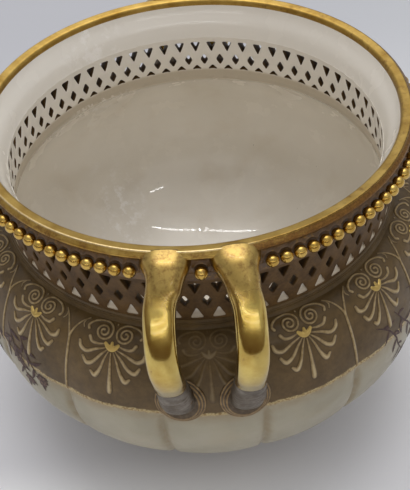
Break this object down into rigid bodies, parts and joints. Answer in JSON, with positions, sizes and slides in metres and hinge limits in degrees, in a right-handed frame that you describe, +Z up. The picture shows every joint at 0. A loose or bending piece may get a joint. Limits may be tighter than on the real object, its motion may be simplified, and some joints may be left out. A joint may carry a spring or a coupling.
{
  "type": "planter",
  "caption": "Round porcelain planter with a lobed belly, a pierced trellis gallery, a beaded gilt rim and paired loop handles front and back.",
  "frame": {"origin": "on the floor under the middle of the foot ring", "axes": "+Z up, +Y from the front handles to the rear handles, +X to the right of the front"},
  "size_m": [0.2356, 0.2628, 0.172],
  "materials": {
    "gilt": "burnished gold on glaze, worn to a satin on the rim",
    "silvered": "silver-grey lustre over brown, ridges picked out in bronze",
    "bronzed": "satin taupe-brown ground with a slight bronze sheen",
    "cove_brown": "satin dark brown",
    "relief_blush": "satin gold-beige relief",
    "ivory_glaze": "glossy ivory glaze inside, satin ivory and taupe outside"
  },
  "bodies": {
    "root": {"rim_band": "gilt", "rim_collar": "cove_brown", "bead_row_right": "gilt", "bead_row_left": "gilt", "bead_front_centre": "gilt", "bead_rear_centre": "gilt", "pierced_gallery": "bronzed", "pot_bowl": "ivory_glaze", "shoulder_moulding": "bronzed", "foot_ring": "ivory_glaze", "handle_loop_front_right": "gilt", "handle_cuff_front_right": "silvered", "handle_seat_front_right": "silvered", "handle_loop_front_left": "gilt", "handle_cuff_front_left": "silvered", "handle_seat_front_left": "silvered", "handle_loop_rear_right": "gilt", "handle_cuff_rear_right": "silvered", "handle_seat_rear_right": "silvered", "handle_loop_rear_left": "gilt", "handle_cuff_rear_left": "silvered", "handle_seat_rear_left": "silvered", "palmette_01": "relief_blush", "palmette_02": "relief_blush", "palmette_03": "relief_blush", "palmette_04": "relief_blush", "palmette_05": "relief_blush", "palmette_06": "relief_blush", "palmette_07": "relief_blush", "palmette_08": "relief_blush", "palmette_09": "relief_blush", "palmette_10": "relief_blush", "palmette_11": "relief_blush", "palmette_12": "relief_blush", "palmette_13": "relief_blush", "palmette_14": "relief_blush", "palmette_15": "relief_blush", "palmette_16": "relief_blush"}
  },
  "joints": []
}
